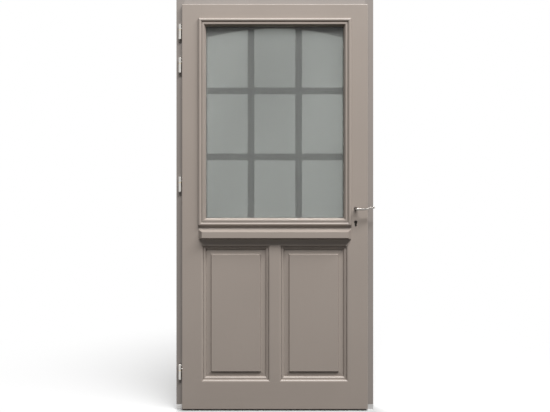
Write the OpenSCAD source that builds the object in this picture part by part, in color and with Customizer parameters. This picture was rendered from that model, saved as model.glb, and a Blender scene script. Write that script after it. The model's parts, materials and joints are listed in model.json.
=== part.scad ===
// Panelled entrance door in its frame, hinges on the left as seen from indoors.
// X runs to the right, Y runs outdoors and Z runs up from the floor.
// The origin is the middle of the threshold's underside, halfway through the frame.

/* [Frame] */
// Overall width of the frame
frame_w = 1035; // [850:5:1200]
// Overall height, from the floor to the top of the frame
frame_h = 2156; // [2000:1:2400]
// Frame face left in view around the leaf
face_show = 31.5; // [28:0.5:60]
// How far the stop stands in past the rebate
stop_w = 15; // [10:1:25]
// Thickness of the stop
stop_t = 20; // [14:1:30]
// Height of the threshold
threshold_h = 26; // [15:1:30]
// Depth of the threshold's sloping nose outdoors
nose_d = 18; // [10:1:40]
// Height of the nose at its outer edge
nose_h = 10; // [5:0.5:12]
// Wall of the hollow threshold
sill_wall = 2.5; // [1.5:0.5:3.5]
// Number of grip grooves along the threshold
sill_grooves = 4; // [0:1:6]
// Depth of a grip groove
sill_groove_d = 0.8; // [0.4:0.1:1.2]
// Width of a grip groove
sill_groove_w = 1.2; // [0.6:0.1:2]
// Distance of a fixing hole from the end of its jamb
fixing_end = 328; // [150:1:600]
// Distance of a fixing hole from the stop
fixing_in = 10; // [7:0.5:12]
// Diameter of a fixing hole
fixing_d = 9; // [6:0.5:12]
// Length of the head's tenons
head_tenon_l = 25; // [15:1:35]
// Thickness of the head's tenons
head_tenon_t = 14; // [8:1:18]

/* [Leaf] */
// Thickness of the leaf
leaf_t = 58; // [52:1:70]
// Thickness of the lip that laps over the frame
lip_t = 20; // [16:1:26]
// How far the lip laps over the frame's face
lip_overlap = 10; // [8:0.5:16]
// Radius of the rounded edge of the lip
lip_round = 4; // [1:0.5:8]
// Gap between the leaf and the rebate
rebate_gap = 3.5; // [3:0.5:6]
// Gap between the lip and the frame's face
lip_gap = 1.5; // [1:0.5:3]
// Gap for the seal between the leaf and the stop
seal_gap = 5; // [4:0.5:8]
// Gap between the lip and the floor
floor_gap = 7.5; // [3:0.5:10]
// Gap between the leaf and the top of the threshold
sill_gap = 5; // [4:0.5:9]
// Width of a stile, from the leaf's edge to the opening
stile_w = 126; // [118:1:150]
// Height of the top rail at the middle of the arch
top_rail_h = 115; // [95:1:140]
// Height of the middle rail's lower edge above the floor
middle_rail_z = 842; // [700:1:880]
// Height of the middle rail
middle_rail_h = 164; // [160:1:230]
// Height of the bottom rail
bottom_rail_h = 168; // [140:1:280]
// Width of the mullion between the panels
mullion_w = 97; // [75:1:130]
// Thickness of the rails' tenons
tenon_t = 16; // [10:1:20]
// Length of the rails' tenons
tenon_l = 70; // [40:1:78]
// Height of the rails' tenons
tenon_h = 52; // [35:1:65]
// Distance of a tenon from the edge of its rail
tenon_inset = 9; // [6:1:16]
// Length of the mullion's stub tenons
stub_l = 28; // [15:1:40]

/* [Mouldings and panels] */
// Radius of the ovolo round each panel
ovolo_r = 11; // [9:0.5:14]
// Width of the flat outside the ovolo
fillet_w = 2.5; // [1.5:0.5:5]
// Radius of the round between that flat and the leaf's face
round_r = 12; // [8:0.5:13]
// Thickness of a panel's tongue
tongue_t = 16; // [10:1:20]
// Length of a panel's tongue
tongue_l = 10; // [6:0.5:14]
// Room at the bottom of a groove for the panel to swell
groove_room = 2; // [0.5:0.5:5]
// Width of a panel's sloping margin
margin_w = 24; // [15:1:45]
// Rise of the margin towards the field
margin_rise = 3; // [1:0.5:6]
// Width of the bevel at the field's edge
field_bevel_w = 4.5; // [1:0.5:10]
// Rise of the raised field above its margin
field_rise = 9; // [2:0.5:11]

/* [Window] */
// Thickness of a glass pane
glass_t = 4; // [3:0.5:6]
// Space between the panes
cavity_t = 16; // [12:1:20]
// Thickness of the timber in front of the glass outdoors
glass_lip = 16; // [13:1:20]
// Room round the edge of the glass
glass_gap = 4; // [2:0.5:6]
// Rise of the arched head
arch_rise = 48; // [20:1:100]
// Width of the moulded bead round the glass
bead_w = 40; // [36:1:56]
// Radius of the half round on the bead
bead_r = 10; // [7:0.5:13]
// Height of the half round's middle above the leaf's face
bead_up = 5; // [3:0.5:7]
// Height of the bead's flat above the leaf's face
bead_flat = 11; // [8:0.5:14]
// Width of the quirk between the flat and the half round
quirk_w = 2.5; // [1:0.5:4]
// Width of the bead's slope towards the glass
bead_slope_w = 8; // [3:0.5:12]
// Depth of that slope behind the leaf's face
bead_slope_d = 5; // [2:0.5:10]
// Width of a glazing bar at the glass
bar_w = 36; // [24:1:50]
// Width of a glazing bar's outer face
bar_face_w = 18; // [8:1:22]
// Thickness of a glazing bar
bar_t = 12; // [8:0.5:13]
// Height of the lower cross bar, as a share of the window's height
lower_row = 0.32; // [0.2:0.005:0.42]
// Height of the upper cross bar, as a share of the window's height
upper_row = 0.668; // [0.55:0.002:0.78]
// Width of the spacer between the panes
spacer_w = 10; // [6:0.5:14]
// Set-back of the spacer from the edge of the glass
spacer_inset = 2; // [1:0.5:4]
// Length of a setting block under the glass
block_l = 80; // [50:1:120]
// Distance of a setting block from the end of the glass
block_inset = 100; // [50:1:160]

/* [Ledges and weather bar] */
// Distance of a ledge's end from the leaf's edge
ledge_in = 87.5; // [45:0.5:180]
// Bevel at the ends of a ledge
ledge_bevel = 21; // [8:1:40]
// How far a ledge stands out
ledge_p = 32; // [20:1:50]
// Distance of a ledge's top below the bead
ledge_drop = 11; // [0:1:22]
// Height of the steep strip at the back of a ledge's top
ledge_rise = 8.5; // [3:0.5:14]
// How far that strip leans out
ledge_lean = 3; // [1:0.5:8]
// Fall of a ledge's top from there to its front
ledge_fall = 9; // [4:1:24]
// Height of a ledge's front
ledge_front = 31; // [15:1:40]
// Slope of a ledge's underside down to the leaf
ledge_under = 11; // [2:1:30]
// Height of the weather bar
weather_h = 60; // [45:1:90]
// How far the weather bar stands out
weather_p = 38; // [25:1:42]
// Lip at the top of the weather bar
weather_lip = 6; // [3:0.5:10]
// Height of the weather bar above the leaf's lower edge
weather_up = 12; // [8:1:30]
// Gap between the weather bar's ends and the stops
weather_gap = 12; // [10:1:40]
// Radius of the drip groove under the weather bar
drip_r = 3; // [1.5:0.5:5]
// Distance of the drip groove from the weather bar's front
drip_in = 7.5; // [6:0.5:16]

/* [Seals] */
// Thickness of a seal's root
seal_root_t = 2; // [1:0.1:3]
// Depth of a seal's root
seal_root_d = 6; // [4:0.5:10]
// Distance of a frame seal from the stop's edge
seal_in = 5; // [4:0.5:7]
// Thickness of the seal under the leaf
sweep_t = 4; // [2:0.5:8]

/* [Hinges] */
// Height of the bottom hinge
bottom_hinge_z = 201; // [90:1:400]
// Height of the middle hinge
middle_hinge_z = 1184; // [800:1:1350]
// Distance of the top hinge below the leaf's upper edge
top_hinge_drop = 142; // [70:1:260]
// Spacing of the two upper hinges
hinge_pitch = 175; // [110:1:350]
// Radius of a hinge knuckle
knuckle_r = 8; // [6.5:0.25:10]
// Height of the knuckle on the leaf
leaf_knuckle_h = 31; // [24:1:45]
// Height of the knuckle on the frame
frame_knuckle_h = 47; // [36:1:60]
// Thickness of the bearing ring
washer_t = 2; // [1:0.25:4]
// Chamfer at the ends of a hinge
knuckle_chamfer = 1.5; // [0.5:0.25:2.5]
// Radius of a hinge pin
pin_r = 4; // [3:0.25:5]
// Solid end of a knuckle beyond its pin
knuckle_end = 4; // [2:0.5:8]
// Gap between a knuckle and the leaf's edge
hinge_gap = 2; // [2:0.5:6]
// Radius of a hinge stem
stem_r = 3; // [2:0.25:4]
// Length of a hinge stem in the timber
stem_l = 24; // [15:1:26]
// Distance of a stem from the end of its knuckle
stem_in = 8; // [5:0.5:11]

/* [Lock] */
// Height of the lever's spindle above the floor
handle_z = 1056; // [980:1:1120]
// Distance from the leaf's edge to the spindle
backset = 50; // [40:1:55]
// Distance from the spindle down to the key cylinder
cylinder_drop = 70; // [70:1:92]
// Radius of the round of the key cylinder hole
cylinder_r = 8.5; // [8:0.1:10]
// Width of the key cylinder hole's slot
cylinder_slot_w = 10; // [9:0.5:11]
// Height of the key cylinder hole
cylinder_h = 33; // [28:0.5:36]
// Diameter of the spindle hole in the stile
spindle_hole_d = 19; // [18:0.5:26]
// Width of the square spindle
spindle_w = 8; // [7:0.5:9]
// Thickness of the lock case
case_t = 16; // [14:0.5:20]
// Wall of the lock case
case_wall = 2; // [1:0.25:3]
// Depth of the lock case behind the spindle
case_behind = 28; // [25:1:34]
// Height of the lock case above the spindle
case_up = 35; // [18:1:60]
// Height of the lock case below the key cylinder's hole
case_below = 10.5; // [4:0.5:30]
// Thickness of the faceplate and of the strike plate
plate_t = 3; // [2:0.5:4]
// Width of the faceplate and of the strike plate
plate_w = 22; // [18:1:28]
// How far the faceplate runs on past each end of the lock case
plate_end = 30; // [22:1:45]
// Radius of the follower
follower_r = 10; // [9.5:0.5:13]
// Radius of the follower's journals
journal_r = 8; // [7:0.25:9]
// How far the lever turns, in degrees
lever_turn = 35; // [25:1:45]
// Radius of the arm's tip
arm_tip_r = 4; // [3:0.25:5]
// Width of the arm
arm_w = 4; // [3:0.25:4.5]
// Wall of the latch tail each side of the arm
tail_wall = 7; // [3:0.5:9]
// Height of the latch bolt
latch_h = 16; // [13:0.5:19]
// Gap between the follower and the latch bolt below it
latch_gap = 2; // [1:0.25:4]
// Flat left at the latch bolt's nose
latch_nose = 2.5; // [1:0.25:4]
// Height of the dead bolt
dead_bolt_h = 25; // [16:0.5:28]
// Length of the dead bolt
dead_bolt_l = 60; // [45:1:70]
// Throw of the dead bolt
dead_bolt_throw = 20; // [15:0.5:25]
// Gap between the dead bolt and the key cylinder's hole
cylinder_gap = 3.5; // [1:0.25:5]
// Width of the notch where the key's cam works
cam_notch_w = 16; // [10:0.5:20]
// Depth of that notch
cam_notch_d = 6; // [3:0.5:9]
// Diameter of a plate screw
screw_d = 4; // [3:0.25:5]
// Diameter of a plate screw's head
screw_head_d = 8; // [6:0.25:9]
// Length of a plate screw
screw_l = 30; // [20:1:38]
// Distance of a plate screw from the plate's end
screw_in = 11; // [8:0.5:15]

/* [Lever] */
// Radius of the lever's neck
neck_r = 7.5; // [7:0.25:10]
// Gap between the neck and the leaf's face
neck_gap = 2; // [1:0.25:4]
// Distance from the leaf's face to the middle of the grip
lever_reach = 46; // [40:1:60]
// Length of the lever from its spindle
lever_l = 92; // [80:1:140]
// Height of the grip at the neck
grip_h = 13; // [11:0.5:20]
// Height of the grip at its tip
grip_tip_h = 10; // [8:0.5:14]
// Thickness of the grip
grip_t = 9; // [7:0.5:12]
// Rise of the grip towards its tip
grip_rise = 9; // [0:0.5:20]
// Share of the grip that runs level before it rises
grip_level = 0.3; // [0:0.05:0.6]
// Share of the grip that is rounded off at its tip
grip_round = 0.06; // [0.03:0.01:0.12]
// Depth of the spindle's socket in the neck
socket_l = 26; // [15:0.5:34]
// Diameter of the set screw in the neck
set_screw_d = 4; // [3:0.25:5]
// Distance of the set screw from the neck's end
set_screw_in = 10; // [6:0.5:13]

/* [Fits] */
// Clearance between pieces that are fitted together
fit = 0.2; // [0.1:0.05:0.4]
// Radial clearance of turning pieces
run_fit = 0.05; // [0.02:0.01:0.09]
// Clearance of sliding pieces
slide_fit = 0.3; // [0.2:0.05:0.5]

/* [Hidden] */
$fn = 64;
arch_fn = 720;
grip_sides = 20;
grip_rings = 18;
grip_end = 0.05;
past = 1;
paint = "#978c82";
frame_paint = "#8e8681";
steel = "#cfcac4";
zinc = "#b9b6b0";
aluminium = "#c2bebb";
brass = "#b08d4a";
rubber = "#2a2826";
glass_tint = "#9aa09e";

// Planes through the depth of the door
leaf_rebate_d = leaf_t - lip_t - lip_gap;
frame_d = leaf_rebate_d + seal_gap + stop_t;
face_y = -frame_d / 2;
back_y = frame_d / 2;
lip_back = face_y - lip_gap;
leaf_in = lip_back - lip_t;
leaf_out = leaf_in + leaf_t;
leaf_mid = (leaf_in + leaf_out) / 2;
stop_y = leaf_out + seal_gap;
rebate_mid = (face_y + stop_y) / 2;

// Planes across the door and up it
frame_x = frame_w / 2;
leaf_x = frame_x - face_show;
leaf_z0 = floor_gap;
leaf_z1 = frame_h - face_show;
rebate_x = leaf_x - lip_overlap;
rebate_z = leaf_z1 - lip_overlap;
body_x = rebate_x - rebate_gap;
body_z0 = threshold_h + sill_gap;
body_z1 = rebate_z - rebate_gap;
stop_x = rebate_x - stop_w;
stop_z = rebate_z - stop_w;
moulding_w = ovolo_r + fillet_w + round_r;
open_x = leaf_x - stile_w;
shoulder_x = open_x + moulding_w;
panel_z0 = leaf_z0 + bottom_rail_h;
panel_z1 = middle_rail_z;
glass_z0 = middle_rail_z + middle_rail_h;
glass_z1 = leaf_z1 - top_rail_h;
mullion_x = mullion_w / 2;
mullion_flat_x = mullion_x - moulding_w;
fixing_y = stop_y - fixing_in;
fixing_zs = [fixing_end, frame_h - fixing_end];
top_tenon_z = (glass_z1 + moulding_w + body_z1 - tenon_h) / 2;
middle_tenon_z = panel_z1 + moulding_w + tenon_inset;
bottom_tenon_z = panel_z0 - moulding_w - tenon_inset - tenon_h;

// Openings as left, right, bottom and top
left_opening = [-open_x, -mullion_x, panel_z0, panel_z1];
right_opening = [mullion_x, open_x, panel_z0, panel_z1];
window = [-open_x, open_x, glass_z0, glass_z1];

// Panel grooves, glass and arch
groove_d = tongue_l + groove_room;
groove_in = leaf_mid - tongue_t / 2 - fit;
groove_out = leaf_mid + tongue_t / 2 + fit;
glass_out = leaf_out - glass_lip - fit;
glass_in = glass_out - 2 * glass_t - cavity_t;
glass_x = shoulder_x - glass_gap;
glass_bottom = glass_z0 - moulding_w + glass_gap;
glass_top = glass_z1 + moulding_w - glass_gap;
bead_round_u = bead_w - bead_r;
arch_z0 = glass_z1 - arch_rise;
arch_r = (open_x * open_x + arch_rise * arch_rise) / (2 * arch_rise);
bar_back = leaf_out - glass_lip;
bar_half = bar_back + bar_t / 2;
bar_x = open_x - (2 * open_x - 2 * bar_w) / 3 - bar_w / 2;
rows = [for (share = [lower_row, upper_row]) glass_z0 + share * (glass_z1 - glass_z0)];

// Ledges
ledge_x = leaf_x - ledge_in;
ledge_z = glass_z0 - bead_w - ledge_drop;

// Seals
seal_r = (seal_gap - slide_fit) / 2;
seal_x = stop_x + seal_in;
seal_z = stop_z + seal_in;
sweep_y = (lip_back + leaf_out) / 2;

// Hinges
hinge_x = leaf_x + hinge_gap + knuckle_r;
hinge_y = lip_back - lip_t / 2;
top_hinge_z = leaf_z1 - top_hinge_drop;
second_hinge_z = top_hinge_z - hinge_pitch;
hinge_zs = [bottom_hinge_z, middle_hinge_z, second_hinge_z, top_hinge_z];
washer_z = frame_knuckle_h;
leaf_knuckle_z = frame_knuckle_h + washer_t + fit / 2;
hinge_h = leaf_knuckle_z + leaf_knuckle_h;

// Lock, measured from the spindle
lock_y = (lip_back + leaf_out) / 2;
spindle_x = body_x - backset;
strike_x = rebate_x - spindle_x;
slot_r = cylinder_slot_w / 2;
slot_drop = cylinder_h - cylinder_r - slot_r;
case_x0 = -case_behind;
case_x1 = backset - plate_t;
case_down = cylinder_drop + slot_drop + slot_r + case_below;
plate_up = case_up + plate_end;
plate_down = case_down + plate_end;
screw_zs = [plate_up - screw_in, screw_in - plate_down];
cavity_y = case_t / 2 - case_wall;
bolt_half = cavity_y - slide_fit;
hub_half = cavity_y - fit;
latch_top = -follower_r - latch_gap;
latch_bottom = latch_top - latch_h;
dead_bolt_bottom = cylinder_r + cylinder_gap - cylinder_drop;
dead_bolt_top = dead_bolt_bottom + dead_bolt_h;

// The follower's arm works in the middle of the latch's height, and draws the latch flush
arm_r = -(latch_top + latch_bottom) / 2;
tip_x = arm_r * sin(lever_turn / 2);
latch_out = 2 * tip_x;
notch_w = 2 * (arm_tip_r + slide_fit);
tail_top = arm_tip_r + past - arm_r;
tail_x = tip_x - notch_w / 2 - tail_wall;
head_x = tip_x + notch_w / 2 + tail_wall;

// Crossed recess in a screw's head
recess_l = 0.55 * screw_head_d;
recess_w = screw_d / 4;
recess_d = screw_d / 3;

// Lever, measured from the spindle
neck_y = leaf_in - neck_gap;
grip_y = leaf_in - lever_reach;

// A block between two corners
module block(x0, x1, y0, y1, z0, z1) {
    translate([x0, y0, z0]) cube([x1 - x0, y1 - y0, z1 - z0]);
}

// A section drawn in Y and Z, run along X
module along_x(x0, x1) {
    translate([x0, 0, 0]) rotate([90, 0, 90]) linear_extrude(height = x1 - x0) children();
}

// An outline drawn in X and Z, run along Y
module along_y(y0, y1) {
    translate([0, y1, 0]) rotate([90, 0, 0]) linear_extrude(height = y1 - y0) children();
}

// A round bar along Y
module rod_y(r, y0, y1) {
    translate([0, y0, 0]) rotate([-90, 0, 0]) cylinder(r = r, h = y1 - y0);
}

// A round bar along X
module rod_x(r, x0, x1) {
    translate([x0, 0, 0]) rotate([0, 90, 0]) cylinder(r = r, h = x1 - x0);
}

// A moulding under an opening, its section drawn in distance from the opening and Y, mitred at both ends.
// What the section has beyond the width is left square, to run into the piece behind it.
module mitred(half, width) {
    intersection() {
        rotate([0, 90, 0])
            linear_extrude(height = 2 * (half + width + past), center = true) children();
        along_y(leaf_in - leaf_t, leaf_out + leaf_t)
            polygon([[past - half, past], [half - past, past], [half + width, -width],
                [half + width, -width - past], [-half - width, -width - past],
                [-half - width, -width]]);
    }
}

// The same moulding on one side of an opening
module edge_strip(side, opening, width) {
    upright = side == "left" || side == "right";
    mid_x = (opening[0] + opening[1]) / 2;
    mid_z = (opening[2] + opening[3]) / 2;
    half = upright ? (opening[3] - opening[2]) / 2 : (opening[1] - opening[0]) / 2;
    x = side == "left" ? opening[0] : side == "right" ? opening[1] : mid_x;
    z = side == "bottom" ? opening[2] : side == "top" ? opening[3] : mid_z;
    turn = side == "left" ? 90 : side == "right" ? -90 : side == "top" ? 180 : 0;
    translate([x, 0, z]) rotate([0, turn, 0]) mitred(half, width) children();
}

// A round in the section of a moulded edge, without what lies beyond its middle
module edge_round(u, y, r) {
    intersection() {
        translate([u, y]) circle(r = r);
        translate([u - r, leaf_in]) square([r + past, leaf_t]);
    }
}

// Section of a moulded edge, the same on both faces: ovolo, flat and round, with the panel's groove between
module ovolo_section() {
    difference() {
        union() {
            translate([ovolo_r, leaf_in + round_r])
                square([moulding_w + past - ovolo_r, leaf_t - 2 * round_r]);
            for (y = [leaf_in + round_r, leaf_out - round_r]) edge_round(moulding_w, y, round_r);
            for (y = [groove_in, groove_out]) edge_round(ovolo_r, y, ovolo_r);
        }
        translate([-past, groove_in]) square([groove_d + past, groove_out - groove_in]);
    }
}

// Section of the bead that holds the glass: its root in the rebate, a slope, a flat and a quirk
module bead_section() {
    bead_back = glass_in - fit;
    root_u = moulding_w - fit;
    flat_u = bead_round_u - bead_r - quirk_w;
    flat_y = leaf_in - bead_flat;
    quirk_y = leaf_in - bead_up;
    polygon([[0, bead_back], [root_u, bead_back], [root_u, leaf_in], [bead_round_u, leaf_in],
        [bead_round_u, quirk_y], [flat_u, quirk_y], [flat_u, flat_y], [bead_slope_w, flat_y],
        [0, leaf_in + bead_slope_d]]);
}

// Section of the half round on the bead's outer edge, which laps the leaf's face
module bead_round_section() {
    difference() {
        translate([bead_round_u, leaf_in - bead_up]) circle(r = bead_r);
        translate([0, leaf_in]) square([bead_w, bead_r]);
    }
}

// Rebate round the leaf that leaves the lip standing
module lip_rebate() {
    far = frame_w;
    block(-far, -body_x, lip_back, leaf_out + past, 0, frame_h);
    block(body_x, far, lip_back, leaf_out + past, 0, frame_h);
    block(-far, far, lip_back, leaf_out + past, 0, body_z0);
    block(-far, far, lip_back, leaf_out + past, body_z1, frame_h);
}

// Corner left over outside a rounded edge, which lies at the origin and faces +X and -Y
module arris() {
    difference() {
        translate([-lip_round, -past]) square(lip_round + past);
        translate([-lip_round, lip_round]) circle(r = lip_round);
    }
}

// What the rounded edge of the lip takes away, all round the leaf
module lip_arris() {
    for (side = [0, 1]) mirror([side, 0, 0])
        translate([leaf_x, leaf_in, 0]) linear_extrude(height = frame_h) arris();
    translate([0, leaf_in, leaf_z1]) rotate([0, -90, 0])
        linear_extrude(height = frame_w, center = true) arris();
    translate([0, leaf_in, leaf_z0]) rotate([0, 90, 0])
        linear_extrude(height = frame_w, center = true) arris();
}

// Groove for the seal under the leaf
module sweep_groove() {
    block(-frame_w, frame_w, sweep_y - sweep_t / 2 - fit, sweep_y + sweep_t / 2 + fit,
        body_z0 - past, body_z0 + seal_root_d + fit);
}

// Tenons at both ends of a rail, or their mortises when room is given
module rail_tenons(z0, room = 0) {
    for (side = [-1, 1])
        translate([side * (shoulder_x + (tenon_l - past) / 2), leaf_mid, z0 + tenon_h / 2])
            cube([tenon_l + past + 2 * room, tenon_t + 2 * room, tenon_h + 2 * room], center = true);
}

// Stub tenons of the mullion, or their mortises when room is given
module stub_tenons(room = 0) {
    half = mullion_flat_x - tenon_inset / 2 + room;
    for (z = [panel_z0 - moulding_w - stub_l, panel_z1 + moulding_w - past])
        block(-half, half, leaf_mid - tenon_t / 2 - room, leaf_mid + tenon_t / 2 + room,
            z - room, z + stub_l + past + room);
}

// A stile as planed, on the left
module stile_blank(opening) {
    difference() {
        union() {
            block(-leaf_x, -shoulder_x, leaf_in, leaf_out, leaf_z0, leaf_z1);
            edge_strip("left", opening, moulding_w) ovolo_section();
            block(-shoulder_x - past, -open_x, bar_back, leaf_out, glass_z0, arch_z0);
        }
        lip_rebate();
        lip_arris();
        sweep_groove();
        rail_tenons(top_tenon_z, fit);
        rail_tenons(middle_tenon_z, fit);
        rail_tenons(bottom_tenon_z, fit);
    }
}

// Places something at each hinge in turn, on the hinge's axis and at its foot
module at_hinges(zs = hinge_zs) {
    for (z = zs) translate([-hinge_x, hinge_y, z - hinge_h / 2]) children();
}

// Two stems of a hinge's leaf half
module leaf_stems(room = 0) {
    reach = hinge_gap + knuckle_r + stem_l + room;
    for (z = [leaf_knuckle_z + stem_in, hinge_h - stem_in])
        translate([0, 0, z]) rod_x(stem_r + room, 0, reach);
}

// Two stems of a hinge's frame half
module frame_stems(room = 0) {
    reach = face_y - hinge_y + stem_l + room;
    for (z = [stem_in, frame_knuckle_h - stem_in])
        translate([0, 0, z]) rod_y(stem_r + room, 0, reach);
}

// Bore of a hinge, for its pin
module pin_bore() {
    translate([0, 0, knuckle_end])
        cylinder(r = pin_r + run_fit, h = hinge_h - 2 * knuckle_end);
}

// Outline of the key cylinder's hole
module cylinder_outline() {
    circle(r = cylinder_r);
    translate([-slot_r, -slot_drop]) square([cylinder_slot_w, slot_drop]);
    translate([0, -slot_drop]) circle(r = slot_r);
}

// Places something on the lock, with the spindle as its origin
module at_lock() {
    translate([spindle_x, lock_y, handle_z]) children();
}

// A rounded plate along the edge, from one depth to another
module edge_plate(x0, x1, room = 0) {
    end_r = plate_w / 2;
    along_x(x0, x1) {
        translate([-end_r - room, end_r - plate_down])
            square([plate_w + 2 * room, plate_up + plate_down - plate_w]);
        for (z = [plate_up - end_r, end_r - plate_down])
            translate([0, z]) circle(r = end_r + room);
    }
}

// Windows for the two bolts, with room round them
module bolt_windows(x0, x1, room) {
    half = bolt_half + room;
    block(x0, x1, -half, half, latch_bottom - room, latch_top + room);
    block(x0, x1, -half, half, dead_bolt_bottom - room, dead_bolt_top + room);
}

// A countersunk screw along X, its head flush at the origin, driven towards +X
module plate_screw(room = 0) {
    head_l = (screw_head_d - screw_d) / 2;
    rotate([0, 90, 0]) {
        cylinder(r1 = screw_head_d / 2 + room, r2 = screw_d / 2 + room, h = head_l);
        cylinder(r = screw_d / 2 + room, h = screw_l + room);
    }
}

// A crossed recess in a screw's head
module screw_recess() {
    cube([2 * recess_d, recess_l, recess_w], center = true);
    cube([2 * recess_d, recess_w, recess_l], center = true);
}

// Places something at each screw of a plate, driven into the jamb or into the leaf
module at_screws(x, into_leaf) {
    for (z = screw_zs)
        translate([x, 0, z]) rotate([0, 0, into_leaf ? 180 : 0]) children();
}

// Section of a jamb, on the left
module jamb_section() {
    polygon([[-frame_x, face_y], [-rebate_x, face_y], [-rebate_x, stop_y],
        [-stop_x, stop_y], [-stop_x, back_y], [-frame_x, back_y]]);
}

// A jamb as planed, on the left, with its seal groove, mortise and fixing holes
module jamb_blank() {
    difference() {
        translate([0, 0, threshold_h])
            linear_extrude(height = frame_h - threshold_h) jamb_section();
        seal_groove(-seal_x, threshold_h - past, seal_z + seal_r);
        head_seal_groove();
        head_tenons(fit);
        for (z = fixing_zs) translate([-frame_x, fixing_y, z])
            rod_x(fixing_d / 2, -past, frame_x - rebate_x + past);
    }
}

// Upright groove for a seal's root
module seal_groove(x, z0, z1) {
    half = seal_root_t / 2 + fit;
    block(x - half, x + half, stop_y - past, stop_y + seal_root_d + fit, z0, z1 + fit);
}

// Level groove for the head seal's root
module head_seal_groove() {
    half = seal_root_t / 2 + fit;
    block(-seal_x, seal_x, stop_y - past, stop_y + seal_root_d + fit, seal_z - half, seal_z + half);
}

// Tenons of the frame's head, or their mortises when room is given
module head_tenons(room = 0) {
    height = face_show;
    middle_z = (rebate_z + frame_h) / 2;
    for (side = [-1, 1])
        translate([side * (rebate_x + (head_tenon_l - past) / 2), rebate_mid, middle_z])
            cube([head_tenon_l + past + 2 * room, head_tenon_t + 2 * room, height + 2 * room],
                center = true);
}

module hinge_jamb() {
    color(frame_paint) difference() {
        jamb_blank();
        at_hinges() frame_stems(fit);
    }
}

module lock_jamb() {
    pocket = slide_fit + fit;
    color(frame_paint) difference() {
        mirror([1, 0, 0]) jamb_blank();
        at_lock() {
            edge_plate(strike_x - past, strike_x + plate_t + fit, fit);
            bolt_windows(strike_x, strike_x + plate_t + dead_bolt_throw, pocket);
            at_screws(strike_x, false) plate_screw(fit);
        }
    }
}

module frame_head() {
    color(frame_paint) difference() {
        union() {
            block(-rebate_x, rebate_x, face_y, stop_y, rebate_z, frame_h);
            along_x(-stop_x, stop_x)
                polygon([[face_y, rebate_z], [stop_y, rebate_z], [stop_y, stop_z],
                    [back_y, stop_z], [back_y, frame_h], [face_y, frame_h]]);
            head_tenons();
        }
        head_seal_groove();
    }
}

// Hollow sill, flat under the frame and sloping outdoors, with grip grooves in its top
module threshold() {
    outer_y = back_y + nose_d;
    inner = face_y + sill_wall;
    hollow_h = threshold_h - 2 * sill_wall;
    hollow_w = (frame_d - 3 * sill_wall) / 2;
    groove_pitch = stop_t / (sill_grooves + 1);
    color(aluminium) difference() {
        along_x(-frame_x, frame_x) difference() {
            polygon([[face_y, 0], [face_y, threshold_h], [back_y, threshold_h],
                [outer_y, nose_h], [outer_y, 0]]);
            for (chamber = [0, 1])
                translate([inner + chamber * (hollow_w + sill_wall), sill_wall])
                    square([hollow_w, hollow_h]);
        }
        for (line = [1 : 1 : sill_grooves])
            block(-stop_x, stop_x, stop_y + line * groove_pitch - sill_groove_w / 2,
                stop_y + line * groove_pitch + sill_groove_w / 2,
                threshold_h - sill_groove_d, threshold_h + past);
    }
}

// Section of a seal: a bulb towards the leaf on a root in the stop
module seal_section() {
    translate([0, -seal_r]) circle(r = seal_r);
    translate([-seal_root_t / 2, -seal_r]) square([seal_root_t, seal_r + seal_root_d]);
}

// An upright seal in a jamb's stop
module upright_seal(x) {
    color(rubber) translate([x, stop_y, threshold_h])
        linear_extrude(height = seal_z + seal_r - threshold_h) seal_section();
}

module hinge_side_seal() {
    upright_seal(-seal_x);
}

module lock_side_seal() {
    upright_seal(seal_x);
}

module head_seal() {
    half = seal_x - seal_r - fit;
    color(rubber) translate([0, stop_y, seal_z]) rotate([0, 90, 0])
        linear_extrude(height = 2 * half, center = true) seal_section();
}

module strike_plate() {
    color(steel) at_lock() difference() {
        edge_plate(strike_x, strike_x + plate_t);
        bolt_windows(strike_x - past, strike_x + plate_t + past, slide_fit + fit);
        at_screws(strike_x, false) plate_screw(fit);
    }
}

module strike_screws() {
    color(zinc) at_lock() at_screws(strike_x, false) difference() {
        plate_screw();
        screw_recess();
    }
}

// Round body of a knuckle, chamfered at its free end
module knuckle(z0, z1, free_top) {
    low = free_top ? 0 : knuckle_chamfer;
    high = free_top ? knuckle_chamfer : 0;
    rotate_extrude() polygon([[0, z0], [knuckle_r - low, z0], [knuckle_r, z0 + low],
        [knuckle_r, z1 - high], [knuckle_r - high, z1], [0, z1]]);
}

module hinge_frame_half(z) {
    color(steel) at_hinges([z]) difference() {
        union() {
            knuckle(0, frame_knuckle_h, false);
            frame_stems();
        }
        pin_bore();
    }
}

module hinge_leaf_half(z) {
    color(steel) at_hinges([z]) difference() {
        union() {
            knuckle(leaf_knuckle_z, hinge_h, true);
            leaf_stems();
        }
        pin_bore();
    }
}

module top_hinge_frame_half() {
    hinge_frame_half(top_hinge_z);
}

module second_hinge_frame_half() {
    hinge_frame_half(second_hinge_z);
}

module middle_hinge_frame_half() {
    hinge_frame_half(middle_hinge_z);
}

module bottom_hinge_frame_half() {
    hinge_frame_half(bottom_hinge_z);
}

module top_hinge_leaf_half() {
    hinge_leaf_half(top_hinge_z);
}

module second_hinge_leaf_half() {
    hinge_leaf_half(second_hinge_z);
}

module middle_hinge_leaf_half() {
    hinge_leaf_half(middle_hinge_z);
}

module bottom_hinge_leaf_half() {
    hinge_leaf_half(bottom_hinge_z);
}

// Pins stand on the solid ends of the frame halves
module hinge_pins() {
    color(zinc) at_hinges() translate([0, 0, knuckle_end])
        cylinder(r = pin_r, h = hinge_h - 2 * knuckle_end - fit);
}

module hinge_washers() {
    color(brass) at_hinges() translate([0, 0, washer_z]) difference() {
        cylinder(r = knuckle_r, h = washer_t);
        translate([0, 0, -past]) cylinder(r = pin_r + fit, h = washer_t + 2 * past);
    }
}

module hinge_stile() {
    color(paint) difference() {
        stile_blank(left_opening);
        at_hinges() leaf_stems(fit);
    }
}

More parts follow.
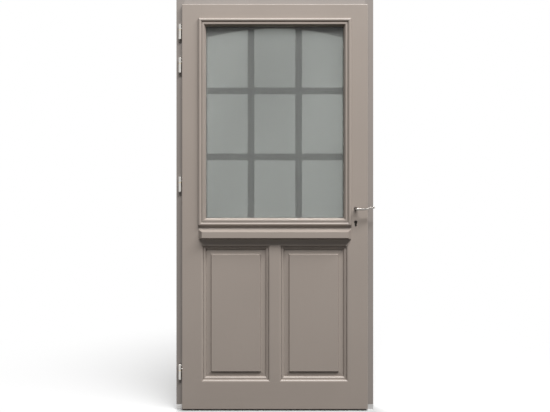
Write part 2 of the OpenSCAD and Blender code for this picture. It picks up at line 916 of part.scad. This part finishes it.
// Room in the timber for the lock case, its faceplate and screws, and from indoors for the spindle and the
// key cylinder
module lock_mortise() {
    at_lock() {
        rod_y(spindle_hole_d / 2, leaf_in - lock_y - past, 0);
        translate([0, 0, -cylinder_drop]) along_y(leaf_in - lock_y - past, 0) cylinder_outline();
        block(case_x0 - fit, backset + past, -case_t / 2 - fit, case_t / 2 + fit,
            -case_down - fit, case_up + fit);
        edge_plate(case_x1 - fit, backset + past, fit);
        at_screws(backset, true) plate_screw(fit);
    }
}

module lock_stile() {
    color(paint) difference() {
        mirror([1, 0, 0]) stile_blank(left_opening);
        lock_mortise();
    }
}

// Straight indoors, arched outdoors
module top_rail() {
    rail_z = glass_z1 + moulding_w;
    color(paint) difference() {
        union() {
            block(-shoulder_x, shoulder_x, leaf_in, leaf_out, rail_z, leaf_z1);
            along_y(bar_back, leaf_out) difference() {
                translate([-shoulder_x, arch_z0]) square([2 * shoulder_x, rail_z + past - arch_z0]);
                translate([0, glass_z1 - arch_r]) circle(r = arch_r, $fn = arch_fn);
            }
            rail_tenons(top_tenon_z);
        }
        lip_rebate();
        lip_arris();
    }
}

module middle_rail() {
    color(paint) difference() {
        union() {
            block(-shoulder_x, shoulder_x, leaf_in, leaf_out, panel_z1 + moulding_w,
                glass_z0 - moulding_w);
            block(-shoulder_x, shoulder_x, bar_back, leaf_out, glass_z0 - moulding_w - past,
                glass_z0);
            edge_strip("top", left_opening, moulding_w) ovolo_section();
            edge_strip("top", right_opening, moulding_w) ovolo_section();
            rail_tenons(middle_tenon_z);
        }
        stub_tenons(fit);
        lock_mortise();
    }
}

module bottom_rail() {
    color(paint) difference() {
        union() {
            block(-shoulder_x, shoulder_x, leaf_in, leaf_out, leaf_z0, panel_z0 - moulding_w);
            edge_strip("bottom", left_opening, moulding_w) ovolo_section();
            edge_strip("bottom", right_opening, moulding_w) ovolo_section();
            rail_tenons(bottom_tenon_z);
        }
        lip_rebate();
        lip_arris();
        sweep_groove();
        stub_tenons(fit);
    }
}

module lower_mullion() {
    color(paint) {
        block(-mullion_flat_x, mullion_flat_x, leaf_in, leaf_out, panel_z0 - moulding_w,
            panel_z1 + moulding_w);
        edge_strip("right", left_opening, moulding_w) ovolo_section();
        edge_strip("left", right_opening, moulding_w) ovolo_section();
        stub_tenons();
    }
}

// Section of a raised panel across half its width each way: tongue, sloping margin, bevel and field
module panel_section(half) {
    tongue = tongue_t / 2;
    margin = tongue + margin_rise;
    field = margin + field_rise;
    margin_u = half - margin_w;
    field_u = margin_u - field_bevel_w;
    corner = [[half + tongue_l, tongue], [half, tongue], [margin_u, margin], [field_u, field]];
    upper = concat(corner, [for (i = [3 : -1 : 0]) [-corner[i][0], corner[i][1]]]);
    polygon(concat(upper, [for (p = upper) -p]));
}

// A raised panel that fills an opening
module raised_panel(opening) {
    half_x = (opening[1] - opening[0]) / 2;
    half_z = (opening[3] - opening[2]) / 2;
    color(paint)
        translate([(opening[0] + opening[1]) / 2, leaf_mid, (opening[2] + opening[3]) / 2])
            intersection() {
                linear_extrude(height = 2 * (half_z + tongue_l + past), center = true)
                    panel_section(half_x);
                rotate([0, 90, 0])
                    linear_extrude(height = 2 * (half_x + tongue_l + past), center = true)
                        panel_section(half_z);
            }
}

module left_panel() {
    raised_panel(left_opening);
}

module right_panel() {
    raised_panel(right_opening);
}

// One of the four mitred beads round the glass
module glass_bead(side) {
    color(paint) union() {
        edge_strip(side, window, bead_w) bead_section();
        edge_strip(side, window, bead_w) bead_round_section();
    }
}

module top_bead() {
    glass_bead("top");
}

module bottom_bead() {
    glass_bead("bottom");
}

module left_bead() {
    glass_bead("left");
}

module right_bead() {
    glass_bead("right");
}

// A pane of the double glazing, from its outdoor face inwards
module pane(outer_y) {
    color(glass_tint)
        block(-glass_x, glass_x, outer_y - glass_t, outer_y, glass_bottom, glass_top);
}

module outer_glass() {
    pane(glass_out);
}

module inner_glass() {
    pane(glass_in + glass_t);
}

module glass_spacer() {
    y0 = glass_in + glass_t;
    y1 = y0 + cavity_t;
    in = spacer_inset + spacer_w;
    color(aluminium) difference() {
        block(-glass_x + spacer_inset, glass_x - spacer_inset, y0, y1,
            glass_bottom + spacer_inset, glass_top - spacer_inset);
        block(-glass_x + in, glass_x - in, y0 - past, y1 + past,
            glass_bottom + in, glass_top - in);
    }
}

module setting_blocks() {
    color(rubber) for (side = [-1, 1])
        translate([side * (glass_x - block_inset - block_l / 2), 0, 0])
            block(-block_l / 2, block_l / 2, glass_in, glass_out,
                glass_z0 - moulding_w, glass_bottom);
}

// Section of a glazing bar: wide at the glass, narrow outdoors
module bar_section() {
    polygon([[-bar_w / 2, bar_back], [bar_w / 2, bar_back],
        [bar_face_w / 2, bar_back + bar_t], [-bar_face_w / 2, bar_back + bar_t]]);
}

// An upright bar whose top is scribed to the arch
module upright_blank(x) {
    intersection() {
        translate([x, 0, glass_z0])
            linear_extrude(height = glass_z1 - glass_z0) bar_section();
        translate([0, 0, glass_z1 - arch_r])
            rotate([90, 0, 0]) cylinder(r = arch_r - fit, h = frame_w, center = true, $fn = arch_fn);
    }
}

// A cross bar from stile to stile
module cross_blank(z) {
    translate([0, 0, z]) rotate([0, 90, 0])
        linear_extrude(height = 2 * open_x, center = true) bar_section();
}

// Half the thickness of the bars, outdoors or towards the glass
module bar_layer(outdoors) {
    y0 = outdoors ? bar_half : bar_back - past;
    y1 = outdoors ? leaf_out : bar_half;
    block(-open_x, open_x, y0, y1, glass_z0, glass_z1);
}

// Upright bars are halved over the cross bars on their outer side
module upright_bar(x) {
    color(paint) difference() {
        upright_blank(x);
        for (z = rows) intersection() {
            cross_blank(z);
            bar_layer(true);
        }
    }
}

module cross_bar(z) {
    color(paint) difference() {
        cross_blank(z);
        for (x = [-bar_x, bar_x]) intersection() {
            upright_blank(x);
            bar_layer(false);
        }
    }
}

module left_upright_bar() {
    upright_bar(-bar_x);
}

module right_upright_bar() {
    upright_bar(bar_x);
}

module upper_cross_bar() {
    cross_bar(rows[1]);
}

module lower_cross_bar() {
    cross_bar(rows[0]);
}

// A ledge standing out along +Y: steep strip, sloping top, flat front, sloping underside and bevelled ends
module ledge() {
    slope_top = ledge_z - ledge_rise;
    front_top = slope_top - ledge_fall;
    front_bottom = front_top - ledge_front;
    foot = front_bottom - ledge_under;
    front_x = ledge_x - ledge_bevel;
    intersection() {
        along_x(-ledge_x, ledge_x)
            polygon([[0, foot], [ledge_p, front_bottom], [ledge_p, front_top], [ledge_lean, slope_top],
                [0, ledge_z]]);
        translate([0, 0, foot]) linear_extrude(height = ledge_z - foot)
            polygon([[-ledge_x, 0], [ledge_x, 0], [front_x, ledge_p], [-front_x, ledge_p]]);
    }
}

module inside_ledge() {
    color(paint) translate([0, leaf_in, 0]) mirror([0, 1, 0]) ledge();
}

module outside_ledge() {
    color(paint) translate([0, leaf_out, 0]) ledge();
}

// Drip bar: swept top, upright front and a drip groove underneath
module weather_bar() {
    half = stop_x - weather_gap;
    foot = body_z0 + weather_up;
    sweep_r = weather_p - weather_lip;
    color(paint) translate([0, leaf_out, foot]) along_x(-half, half) difference() {
        square([weather_p, weather_h]);
        translate([weather_p, weather_h]) circle(r = sweep_r);
        translate([weather_p - drip_in, 0]) circle(r = drip_r);
    }
}

module bottom_seal() {
    color(rubber) block(-body_x, body_x, sweep_y - sweep_t / 2, sweep_y + sweep_t / 2,
        threshold_h + slide_fit, body_z0 + seal_root_d);
}

// Holes in both cheeks of the lock: the follower's journals and the key cylinder
module cheek_holes() {
    rod_y(journal_r + run_fit, -case_t, case_t);
    translate([0, 0, -cylinder_drop]) along_y(-case_t, case_t) cylinder_outline();
}

// Pressed tray, open towards the faceplate and closed indoors by the cover
module lock_case() {
    color(zinc) at_lock() difference() {
        block(case_x0, case_x1, -cavity_y, case_t / 2, -case_down, case_up);
        block(case_x0 + case_wall, case_x1 + past, -cavity_y - past, cavity_y,
            case_wall - case_down, case_up - case_wall);
        cheek_holes();
    }
}

module lock_cover() {
    color(zinc) at_lock() difference() {
        block(case_x0, case_x1, -case_t / 2, -cavity_y, -case_down, case_up);
        cheek_holes();
    }
}

module lock_faceplate() {
    color(steel) at_lock() difference() {
        edge_plate(case_x1, backset);
        bolt_windows(case_x1 - past, backset + past, slide_fit);
        at_screws(backset, true) plate_screw(fit);
    }
}

module faceplate_screws() {
    color(zinc) at_lock() at_screws(backset, true) difference() {
        plate_screw();
        screw_recess();
    }
}

// Turning hub of the lock, with journals in both cheeks and an arm in the latch's tail
module follower() {
    color(zinc) at_lock() difference() {
        union() {
            rod_y(follower_r, -hub_half, hub_half);
            rod_y(journal_r, -case_t / 2, case_t / 2);
            rotate([0, -lever_turn / 2, 0]) {
                block(-arm_w / 2, arm_w / 2, -hub_half / 2, hub_half / 2, -arm_r, 0);
                translate([0, 0, -arm_r]) rod_y(arm_tip_r, -hub_half / 2, hub_half / 2);
            }
        }
        cube([spindle_w + 2 * run_fit, 2 * case_t, spindle_w + 2 * run_fit], center = true);
    }
}

// Bevelled latch bolt with the tail that the follower's arm draws back
module latch_bolt() {
    nose_x = backset + latch_out;
    notch_bottom = -arm_r - arm_tip_r - past;
    color(steel) at_lock() difference() {
        union() {
            translate([0, 0, latch_bottom]) linear_extrude(height = latch_h)
                polygon([[head_x, -bolt_half], [nose_x, -bolt_half],
                    [nose_x, latch_nose - bolt_half], [backset, bolt_half],
                    [head_x, bolt_half]]);
            block(tail_x, head_x + past, -bolt_half, bolt_half, latch_bottom, tail_top);
        }
        block(tip_x - notch_w / 2, tip_x + notch_w / 2, -case_t, case_t, notch_bottom, 0);
    }
}

// Dead bolt, drawn back flush with the faceplate, with a notch for the key's cam
module dead_bolt() {
    color(steel) at_lock() difference() {
        block(backset - dead_bolt_l, backset, -bolt_half, bolt_half, dead_bolt_bottom,
            dead_bolt_top);
        block(-cam_notch_w / 2, cam_notch_w / 2, -case_t, case_t, dead_bolt_bottom - past,
            dead_bolt_bottom + cam_notch_d);
    }
}

// Share of the way from 0 to 1, eased at both ends
function eased(t) = t * t * (3 - 2 * t);

// One ring of the grip, at a share of its length: it narrows, rises and closes round at the tip
function grip_ring(t) =
    let (into_tip = max(0, t - 1 + grip_round) / grip_round,
        closing = max(grip_end, sqrt(max(0, 1 - into_tip * into_tip))),
        half_h = (grip_h + (grip_tip_h - grip_h) * t) / 2 * closing,
        half_t = grip_t / 2 * closing,
        rise = grip_rise * eased(max(0, t - grip_level) / (1 - grip_level)))
    [for (i = [0 : grip_sides - 1])
        let (a = 360 * i / grip_sides)
        [lever_l * t, half_t * cos(a), half_h * sin(a) + rise]];

// Lofted grip of the lever, along +X from the spindle
module grip() {
    shares = [for (i = [0 : grip_rings]) sin(90 * i / grip_rings)];
    rings = [for (t = shares) grip_ring(t)];
    n = grip_sides;
    sides = [for (r = [0 : grip_rings - 1], i = [0 : n - 1])
        let (j = (i + 1) % n)
        [r * n + i, (r + 1) * n + i, (r + 1) * n + j, r * n + j]];
    ends = [[for (i = [0 : n - 1]) i], [for (i = [n - 1 : -1 : 0]) grip_rings * n + i]];
    polyhedron([for (ring = rings, p = ring) p], concat(sides, ends), convexity = 4);
}

// Bent lever: a round neck with the spindle's socket, and a grip that rises towards its tip
module lever() {
    socket = spindle_w + 2 * run_fit;
    color(steel) translate([spindle_x, 0, handle_z]) difference() {
        union() {
            rod_y(neck_r, grip_y, neck_y);
            translate([0, grip_y, 0]) sphere(r = neck_r);
            translate([0, grip_y, 0]) grip();
        }
        block(-socket / 2, socket / 2, neck_y - socket_l, neck_y + past, -socket / 2, socket / 2);
        translate([0, neck_y - set_screw_in, -neck_r - past])
            cylinder(r = set_screw_d / 2 + run_fit, h = neck_r + past);
    }
}

// Set screw from below, its point on the spindle
module lever_screw() {
    foot = neck_r - past;
    color(zinc) translate([spindle_x, neck_y - set_screw_in, handle_z - foot])
        cylinder(r = set_screw_d / 2, h = foot - spindle_w / 2);
}

module spindle() {
    half = spindle_w / 2;
    color(zinc) translate([spindle_x, 0, handle_z])
        block(-half, half, neck_y - socket_l + fit, lock_y + case_t / 2, -half, half);
}

hinge_jamb();
lock_jamb();
frame_head();
threshold();
hinge_side_seal();
lock_side_seal();
head_seal();
strike_plate();
strike_screws();
top_hinge_frame_half();
second_hinge_frame_half();
middle_hinge_frame_half();
bottom_hinge_frame_half();
hinge_pins();
hinge_washers();
hinge_stile();
lock_stile();
top_rail();
middle_rail();
bottom_rail();
lower_mullion();
left_panel();
right_panel();
top_bead();
bottom_bead();
left_bead();
right_bead();
inner_glass();
outer_glass();
glass_spacer();
setting_blocks();
left_upright_bar();
right_upright_bar();
upper_cross_bar();
lower_cross_bar();
inside_ledge();
outside_ledge();
weather_bar();
bottom_seal();
top_hinge_leaf_half();
second_hinge_leaf_half();
middle_hinge_leaf_half();
bottom_hinge_leaf_half();
lock_case();
lock_cover();
lock_faceplate();
faceplate_screws();
lever();
lever_screw();
spindle();
follower();
latch_bolt();
dead_bolt();
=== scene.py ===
"""Looks of the panelled front door: painted timber, satin glass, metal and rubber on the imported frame."""
import json
import math

import bpy
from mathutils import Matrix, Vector

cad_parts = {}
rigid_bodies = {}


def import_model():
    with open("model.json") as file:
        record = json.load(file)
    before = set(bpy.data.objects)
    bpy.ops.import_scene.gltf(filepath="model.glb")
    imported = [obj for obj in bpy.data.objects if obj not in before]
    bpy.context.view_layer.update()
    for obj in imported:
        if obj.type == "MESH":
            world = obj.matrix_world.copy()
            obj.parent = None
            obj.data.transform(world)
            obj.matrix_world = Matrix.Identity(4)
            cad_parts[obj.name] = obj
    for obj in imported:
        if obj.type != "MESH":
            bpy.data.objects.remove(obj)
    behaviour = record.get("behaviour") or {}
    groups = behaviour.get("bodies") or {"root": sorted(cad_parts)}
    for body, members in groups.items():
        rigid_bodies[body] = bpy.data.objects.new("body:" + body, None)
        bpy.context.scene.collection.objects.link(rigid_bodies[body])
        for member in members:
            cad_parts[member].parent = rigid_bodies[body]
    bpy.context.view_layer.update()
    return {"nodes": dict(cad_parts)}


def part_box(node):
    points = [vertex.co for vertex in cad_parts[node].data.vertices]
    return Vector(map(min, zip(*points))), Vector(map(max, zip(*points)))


# The objects that Blender starts with aren't wanted
for obj in list(bpy.data.objects):
    bpy.data.objects.remove(obj)

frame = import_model()
nodes = frame["nodes"]
scene = bpy.context.scene
scene.view_settings.view_transform = "Standard"

# A millimetre in the scene's metres
MM = 0.001


def linear(r, g, b):
    """A colour from 0 to 255 as shown on screen, as linear light."""
    def one(c):
        c /= 255
        return c / 12.92 if c <= 0.04045 else ((c + 0.055) / 1.055) ** 2.4
    return one(r), one(g), one(b)


# Camera: level, in front of the leaf's indoor face, where the scale holds; the picture's middle lies lower
IMAGE_W = 550
MM_PER_PIXEL = 5.22
SENSOR_W = 36
CAMERA_BACK = 2.8
CAMERA_X = 0.0009
CAMERA_Z = 1.258
CENTRE_Z = 1.070

# Light: a wide lamp high up on the indoor side, a weaker one outdoors, and a little from all round
AIM = (0.0, 0.0, 1.1)
FRONT_PLACE = (2.4, -4.5, 9.1)
FRONT_SIZE = (11.0, 1.6)
FRONT_WATTS = 2110.0
BACK_PLACE = (-2.0, 5.5, 6.0)
BACK_SIZE = (6.0, 2.0)
BACK_WATTS = 900.0
WORLD_LIGHT = 0.10

# Floor: half its width, its drop below the door, the distances between which it turns to white,
# its colour as seen near the door, and the colour that it throws back as light
FLOOR_HALF = 40.0
FLOOR_DROP = 0.5 * MM
FLOOR_SHADOWED = (0.5, 2.2)
FLOOR_NEAR = (0.44, 0.44, 0.44)
FLOOR_BOUNCE = (0.04, 0.034, 0.028)

# Paint: colours of leaf, frame head and jambs, roughness from and to, shine, radius of its arrises. The
# jambs' colour is set darker than the head's as painted shade.
PAINT = linear(150, 140, 132)
HEAD_PAINT = linear(148, 141, 136)
JAMB_PAINT_SHADED = linear(138, 131, 126)
PAINT_ROUGH = (0.28, 0.36)
PAINT_SHINE = 0.4
PAINT_ARRIS = 1.2 * MM

# Grain of upright and level pieces: its scale along X, Y and Z, small where it is drawn out
UPRIGHT = (1.0, 1.0, 0.03)
LEVEL = (0.03, 1.0, 1.0)

# Metal: radius of its arrises, and the scale of its drawn lines along X, Y and Z
METAL_ARRIS = 0.4 * MM
DRAWN_UP = (1, 1, 0.02)
DRAWN_ALONG = (0.02, 1, 1)

# Glass: refraction, and how much of the head-on reflection is kept
GLASS_IOR = 1.45
GLASS_MIRROR = 0.5

# Noise mostly lies between these values
NOISE_LOW = 0.3
NOISE_HIGH = 0.7

# Sockets of a Mix node that mixes colours
MIX_COLOURS = slice(6, 8)
MIX_RESULT = 2


class Tree:
    """Short forms for adding and joining shader nodes."""

    def __init__(self, material):
        material.use_nodes = True
        self.tree = material.node_tree
        self.tree.nodes.clear()

    def add(self, kind, **values):
        """Adds a node; each value sets a property of it or else an input."""
        node = self.tree.nodes.new("ShaderNode" + kind)
        for key, value in values.items():
            if hasattr(node, key):
                setattr(node, key, value)
            else:
                node.inputs[key.replace("_", " ")].default_value = value
        return node

    def join(self, out, into):
        self.tree.links.new(out, into)

    def math(self, operation, a, b):
        node = self.add("Math", operation=operation)
        for socket, value in zip(node.inputs, (a, b)):
            if isinstance(value, (int, float)):
                socket.default_value = value
            else:
                self.join(value, socket)
        return node.outputs[0]

    def spots(self, vector, scale, stretch=(1, 1, 1), detail=3.0, low=0.0, high=1.0, rough=0.5):
        """Noise from low to high with about scale spots a metre, drawn out where stretch is small."""
        mapping = self.add("Mapping", Scale=[scale * s for s in stretch])
        self.join(vector, mapping.inputs["Vector"])
        noise = self.add("TexNoise", Scale=1.0, Detail=detail, Roughness=rough)
        self.join(mapping.outputs[0], noise.inputs["Vector"])
        span = self.add("MapRange", From_Min=NOISE_LOW, From_Max=NOISE_HIGH, To_Min=low, To_Max=high)
        self.join(noise.outputs[0], span.inputs["Value"])
        return span.outputs[0]

    def blend(self, share, a, b):
        """Mixes two colours, given as tuples or sockets."""
        mix = self.add("Mix", data_type="RGBA")
        self.join(share, mix.inputs["Factor"])
        for socket, value in zip(mix.inputs[MIX_COLOURS], (a, b)):
            if isinstance(value, tuple):
                socket.default_value = (*value, 1.0)
            else:
                self.join(value, socket)
        return mix.outputs[MIX_RESULT]

    def bump(self, height, distance, strength, under=None):
        """Small relief, on top of the normal that is given."""
        node = self.add("Bump", Strength=strength, Distance=distance)
        self.join(height, node.inputs["Height"])
        if under is not None:
            self.join(under, node.inputs["Normal"])
        return node.outputs[0]

    def arris(self, radius):
        """Normal that rounds sharp edges by a small radius."""
        return self.add("Bevel", samples=4, Radius=radius).outputs[0]

    def finish(self, shader):
        out = self.add("OutputMaterial")
        self.join(shader.outputs[0], out.inputs["Surface"])


def shade(colour, k):
    return tuple(c * k for c in colour)


def new_material(name):
    material = bpy.data.materials.new(name)
    tree = Tree(material)
    coord = tree.add("TexCoord").outputs["Object"]
    return material, tree, coord


def paint(name, stretch, colour):
    """Satin paint on timber: faint grain along the piece, sprayed texture, soft arrises."""
    material, t, coord = new_material(name)
    cloud = t.spots(coord, 2.2, detail=2.0)
    grain = t.spots(coord, 260.0, stretch, detail=4.0, rough=0.6)
    peel = t.spots(coord, 700.0, detail=1.0)
    tone = t.blend(cloud, shade(colour, 0.97), shade(colour, 1.03))
    tone = t.blend(t.math("MULTIPLY", grain, 0.25), tone, shade(colour, 0.93))
    normal = t.bump(grain, 0.05 * MM, 0.5, t.arris(PAINT_ARRIS))
    normal = t.bump(peel, 0.03 * MM, 0.6, normal)
    low, high = PAINT_ROUGH
    surface = t.add("BsdfPrincipled", Specular_IOR_Level=PAINT_SHINE)
    t.join(tone, surface.inputs["Base Color"])
    t.join(t.spots(coord, 9.0, low=low, high=high), surface.inputs["Roughness"])
    t.join(normal, surface.inputs["Normal"])
    t.finish(surface)
    return material


def metal(name, colour, rough, streak, along=DRAWN_UP):
    """Plated or polished metal with fine drawn lines and slight tone changes."""
    material, t, coord = new_material(name)
    lines = t.spots(coord, 1500.0, along, detail=2.0)
    cloud = t.spots(coord, 40.0, detail=2.0)
    tone = t.blend(cloud, shade(colour, 0.94), shade(colour, 1.0))
    normal = t.bump(lines, 0.02 * MM, streak, t.arris(METAL_ARRIS))
    surface = t.add("BsdfPrincipled", Metallic=1.0)
    t.join(tone, surface.inputs["Base Color"])
    t.join(t.spots(coord, 120.0, low=0.85 * rough, high=1.2 * rough), surface.inputs["Roughness"])
    t.join(normal, surface.inputs["Normal"])
    t.finish(surface)
    return material


def rubber(name):
    """Dull black rubber with a little dust."""
    material, t, coord = new_material(name)
    dust = t.spots(coord, 60.0, detail=4.0)
    tone = t.blend(dust, (0.018, 0.017, 0.016), (0.035, 0.033, 0.031))
    surface = t.add("BsdfPrincipled")
    t.join(tone, surface.inputs["Base Color"])
    t.join(t.spots(coord, 300.0, low=0.6, high=0.8), surface.inputs["Roughness"])
    t.join(t.bump(t.spots(coord, 1200.0), 0.02 * MM, 0.5), surface.inputs["Normal"])
    t.finish(surface)
    return material


def glass(name, tint, node, satin, clear):
    """Pane whose outdoor face is etched by a roughness; the share that isn't clear is a pale haze. Its tint
    changes slowly across the pane as a painted reflection.
    """
    material, t, coord = new_material(name)
    # Painted reflection: slow brightness changes of 6 percent across the pane
    reflection_drift = t.spots(coord, 1.6, (1.6, 1, 0.5), detail=1.0)
    tone = t.blend(reflection_drift, shade(tint, 0.94), shade(tint, 1.06))
    low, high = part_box(node)
    place = t.add("SeparateXYZ")
    t.join(coord, place.inputs[0])
    outdoors = t.math("GREATER_THAN", place.outputs["Y"], (low.y + high.y) / 2)
    etched = t.spots(coord, 30.0, low=0.9 * satin, high=1.1 * satin)
    surface = t.add("BsdfPrincipled", IOR=GLASS_IOR, Transmission_Weight=clear,
                    Specular_Tint=(GLASS_MIRROR, GLASS_MIRROR, GLASS_MIRROR, 1))
    t.join(tone, surface.inputs["Base Color"])
    t.join(t.math("MULTIPLY", outdoors, etched), surface.inputs["Roughness"])
    t.finish(surface)
    return material


def dress(material, *names):
    for name in names:
        slots = nodes[name].data.materials
        slots.clear()
        slots.append(material)


def dress_timber():
    dress(paint("paint_upright", UPRIGHT, PAINT),
          "hinge_stile", "lock_stile", "lower_mullion", "left_panel", "right_panel",
          "left_bead", "right_bead", "left_upright_bar", "right_upright_bar")
    dress(paint("paint_level", LEVEL, PAINT),
          "top_rail", "middle_rail", "bottom_rail", "top_bead", "bottom_bead",
          "upper_cross_bar", "lower_cross_bar", "inside_ledge", "outside_ledge", "weather_bar")
    # The jambs get the darker colour: painted shade on them
    dress(paint("jamb_paint_painted_shade", UPRIGHT, JAMB_PAINT_SHADED), "hinge_jamb", "lock_jamb")
    dress(paint("frame_paint_level", LEVEL, HEAD_PAINT), "frame_head")


def dress_metal():
    """Each metal has its colour, roughness and depth of drawn lines; the lever's colour is set dark as a
    painted reflection of a dark room.
    """
    hinge_halves = [n for n in nodes if "hinge_frame_half" in n or "hinge_leaf_half" in n]
    dress(metal("hinge_nickel", (0.56, 0.54, 0.51), 0.32, 0.3), *hinge_halves)
    dress(metal("zinc_plate", (0.55, 0.54, 0.52), 0.38, 0.2),
          "strike_screws", "faceplate_screws", "hinge_pins", "lock_case", "lock_cover",
          "lever_screw", "spindle", "follower")
    dress(metal("lock_steel", (0.62, 0.61, 0.59), 0.28, 0.5),
          "strike_plate", "lock_faceplate", "latch_bolt", "dead_bolt")
    # The lever's dark colour is a painted reflection of a dark room, not the chrome's own colour
    dress(metal("lever_chrome_dark_reflection", (0.30, 0.28, 0.26), 0.14, 0.0), "lever")
    dress(metal("bearing_brass", (0.68, 0.50, 0.22), 0.3, 0.2), "hinge_washers")
    dress(metal("sill_aluminium", (0.56, 0.55, 0.54), 0.42, 0.6, DRAWN_ALONG), "threshold", "glass_spacer")


def dress_glass_and_rubber():
    """Each pane has its tint, the roughness of its etched face and its clear share. The outer pane's dark
    tint is painted shade for dim light behind the door.
    """
    dress(rubber("seal_rubber"),
          "hinge_side_seal", "lock_side_seal", "head_seal", "bottom_seal", "setting_blocks")
    dress(glass("satin_glass", (0.60, 0.62, 0.60), "inner_glass", 0.16, 0.85), "inner_glass")
    # Dark tint: painted shade, so that the white background shows dim through the panes
    dress(glass("clear_glass", (0.31, 0.32, 0.31), "outer_glass", 0.05, 1.0), "outer_glass")


def camera():
    data = bpy.data.cameras.new("camera")
    view = bpy.data.objects.new("camera", data)
    scene.collection.objects.link(view)
    leaf_face_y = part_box("hinge_stile")[0].y
    view.location = (CAMERA_X, leaf_face_y - CAMERA_BACK, CAMERA_Z)
    view.rotation_euler = (math.pi / 2, 0, 0)
    width = IMAGE_W * MM_PER_PIXEL * MM
    data.sensor_width = SENSOR_W
    data.lens = SENSOR_W * CAMERA_BACK / width
    data.shift_y = (CENTRE_Z - CAMERA_Z) / width
    scene.camera = view


def lamp(name, place, size, watts):
    data = bpy.data.lights.new(name, "AREA")
    data.shape = "RECTANGLE"
    data.size, data.size_y = size
    data.energy = watts
    obj = bpy.data.objects.new(name, data)
    scene.collection.objects.link(obj)
    obj.location = place
    obj.rotation_euler = (Vector(AIM) - Vector(place)).to_track_quat("-Z", "Y").to_euler()


def white_for_view(t):
    """1 for rays that show the background: from the camera, in metal and through glass."""
    path = t.add("LightPath")
    seen = t.math("MAXIMUM", path.outputs["Is Camera Ray"], path.outputs["Is Glossy Ray"])
    return t.math("MAXIMUM", seen, path.outputs["Is Transmission Ray"])


def world():
    """White where it is seen, and a little light from all round otherwise."""
    scene.world = bpy.data.worlds.new("studio")
    t = Tree(scene.world)
    back = t.add("Background", Color=(1, 1, 1, 1))
    strength = t.add("Mix", data_type="FLOAT")
    t.join(white_for_view(t), strength.inputs["Factor"])
    strength.inputs["A"].default_value = WORLD_LIGHT
    strength.inputs["B"].default_value = 1.0
    t.join(strength.outputs[0], back.inputs["Strength"])
    out = t.add("OutputWorld")
    t.join(back.outputs[0], out.inputs["Surface"])


def floor():
    """Pale floor that keeps the door's shadow and turns to the white of the background further off."""
    mesh = bpy.data.meshes.new("floor")
    half = FLOOR_HALF
    corners = [(-half, -half, 0), (half, -half, 0), (half, half, 0), (-half, half, 0)]
    mesh.from_pydata(corners, [], [(0, 1, 2, 3)])
    obj = bpy.data.objects.new("floor", mesh)
    scene.collection.objects.link(obj)
    obj.location.z = -FLOOR_DROP
    material = bpy.data.materials.new("floor_white")
    material.cycles.emission_sampling = "NONE"
    t = Tree(material)
    far = t.add("VectorMath", operation="LENGTH")
    t.join(t.add("TexCoord").outputs["Object"], far.inputs[0])
    start, end = FLOOR_SHADOWED
    fade = t.add("MapRange", interpolation_type="SMOOTHSTEP", From_Min=start, From_Max=end)
    t.join(far.outputs["Value"], fade.inputs["Value"])
    near = t.add("BsdfDiffuse", Color=(*FLOOR_NEAR, 1))
    white = t.add("Emission", Color=(1, 1, 1, 1))
    bright = t.add("MixShader")
    t.join(fade.outputs[0], bright.inputs[0])
    t.join(near.outputs[0], bright.inputs[1])
    t.join(white.outputs[0], bright.inputs[2])
    dull = t.add("BsdfDiffuse", Color=(*FLOOR_BOUNCE, 1))
    mix = t.add("MixShader")
    t.join(white_for_view(t), mix.inputs[0])
    t.join(dull.outputs[0], mix.inputs[1])
    t.join(bright.outputs[0], mix.inputs[2])
    t.finish(mix)
    mesh.materials.append(material)


dress_timber()
dress_metal()
dress_glass_and_rubber()
camera()
world()
lamp("front", FRONT_PLACE, FRONT_SIZE, FRONT_WATTS)
lamp("back", BACK_PLACE, BACK_SIZE, BACK_WATTS)
floor()
